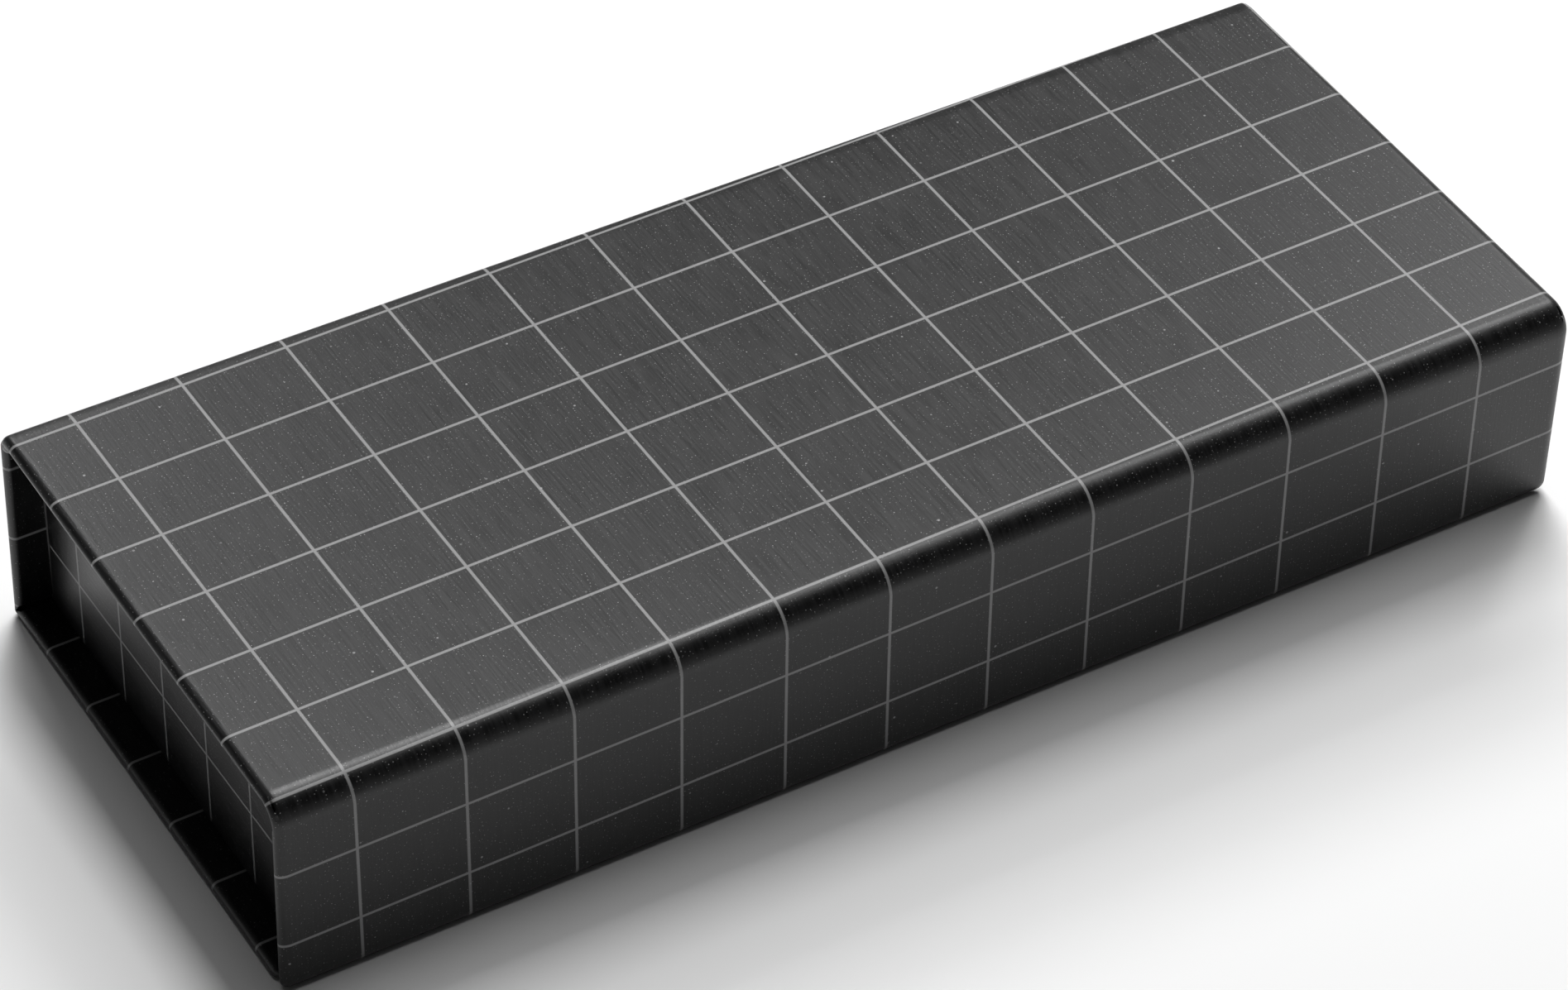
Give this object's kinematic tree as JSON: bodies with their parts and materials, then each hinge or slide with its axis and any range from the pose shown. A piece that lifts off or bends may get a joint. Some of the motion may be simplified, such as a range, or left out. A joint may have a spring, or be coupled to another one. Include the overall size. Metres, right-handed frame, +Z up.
{
  "type": "pen_set",
  "caption": "Book-style pen gift box in matt black grid-printed paper, with a magnetic front flap, a foam-lined tray, a twist ballpoint and a push-button mechanical pencil",
  "frame": {"origin": "bottom centre of the closed box, on the surface it lies on", "axes": "X along the box's length, Y from the flap to the spine, Z up from the base"},
  "size_m": [0.19, 0.078, 0.0315],
  "materials": {
    "greyboard": "matte",
    "printed_paper": "matte",
    "lining_paper": "matte",
    "magnet": "satin",
    "foam": "matte",
    "bright_plate": "polished",
    "black_lacquer": "gloss",
    "bare_brass": "satin",
    "black_plastic": "satin",
    "spring_steel": "satin",
    "white_plastic": "satin",
    "refill_tube": "satin",
    "eraser_rubber": "matte",
    "graphite": "satin"
  },
  "bodies": {
    "box": {"base_board": "greyboard", "base_wrap": "printed_paper", "spine_board": "greyboard", "spine_wrap": "printed_paper", "lid_hinge_paper": "printed_paper", "tray_floor": "greyboard", "tray_front_wall": "greyboard", "tray_back_wall": "greyboard", "tray_left_wall": "greyboard", "tray_right_wall": "greyboard", "tray_wrap": "printed_paper", "tray_lining": "lining_paper", "tray_magnets": "magnet", "insert_base": "foam", "insert_top": "foam"},
    "lid": {"lid_board": "greyboard", "lid_wrap": "printed_paper", "lid_lining": "lining_paper", "flap_fold_paper": "printed_paper"},
    "flap": {"flap_board": "greyboard", "flap_wrap": "printed_paper", "flap_lining": "lining_paper", "flap_magnets": "magnet"},
    "ballpoint": {"ballpoint_nose_cone": "bright_plate", "ballpoint_lower_barrel": "black_lacquer", "ballpoint_centre_ring": "bright_plate", "ballpoint_sleeve": "bare_brass", "ballpoint_upper_barrel": "black_lacquer", "ballpoint_clip": "bright_plate", "ballpoint_mechanism_body": "black_plastic", "ballpoint_spring": "spring_steel"},
    "ballpoint_knob": {"ballpoint_twist_knob": "bright_plate", "ballpoint_cam_spindle": "white_plastic"},
    "ballpoint_core": {"ballpoint_refill": "refill_tube", "ballpoint_refill_carrier": "white_plastic"},
    "pencil": {"pencil_nose_cone": "bright_plate", "pencil_lead_sleeve": "bright_plate", "pencil_lower_barrel": "black_lacquer", "pencil_centre_ring": "bright_plate", "pencil_sleeve": "bare_brass", "pencil_upper_barrel": "black_lacquer", "pencil_clip": "bright_plate", "pencil_guide_bush": "black_plastic", "pencil_clutch_ring": "bare_brass", "pencil_spring": "spring_steel"},
    "pencil_button": {"pencil_push_button": "bright_plate", "pencil_eraser": "eraser_rubber", "pencil_magazine": "white_plastic", "pencil_chuck": "bare_brass", "pencil_lead": "graphite"}
  },
  "joints": [
    {"name": "lid_hinge", "type": "hinge", "parent": "box", "child": "lid", "pos_m": [0, 0.03825, 0.03075], "axis": [-1, 0, 0], "range_deg": [0, 178], "deforming": ["lid_hinge_paper"]},
    {"name": "flap_hinge", "type": "hinge", "parent": "lid", "child": "flap", "pos_m": [0, -0.0378, 0.03025], "axis": [-1, 0, 0], "range_deg": [0, 90], "deforming": ["flap_fold_paper"]},
    {"name": "ballpoint_lift", "type": "slide", "parent": "box", "child": "ballpoint", "axis": [0, 0, 1], "range_m": [0, 0.005]},
    {"name": "knob_twist", "type": "hinge", "parent": "ballpoint", "child": "ballpoint_knob", "pos_m": [0.06, 0.0161, 0.0155], "axis": [1, 0, 0], "range_deg": [0, 150]},
    {"name": "refill_slide", "type": "slide", "parent": "ballpoint", "child": "ballpoint_core", "axis": [-1, 0, 0], "range_m": [0, 0.0035], "deforming": ["ballpoint_spring"]},
    {"name": "pencil_lift", "type": "slide", "parent": "box", "child": "pencil", "axis": [0, 0, 1], "range_m": [0, 0.005]},
    {"name": "button_press", "type": "slide", "parent": "pencil", "child": "pencil_button", "axis": [-1, 0, 0], "range_m": [0, 0.0035], "stiffness_N_per_m": 350, "springref_m": -0.003, "deforming": ["pencil_spring"]}
  ],
  "couplings": [
    {"joint": "knob_twist", "follows": "refill_slide", "rad_per_m": 747.99}
  ]
}
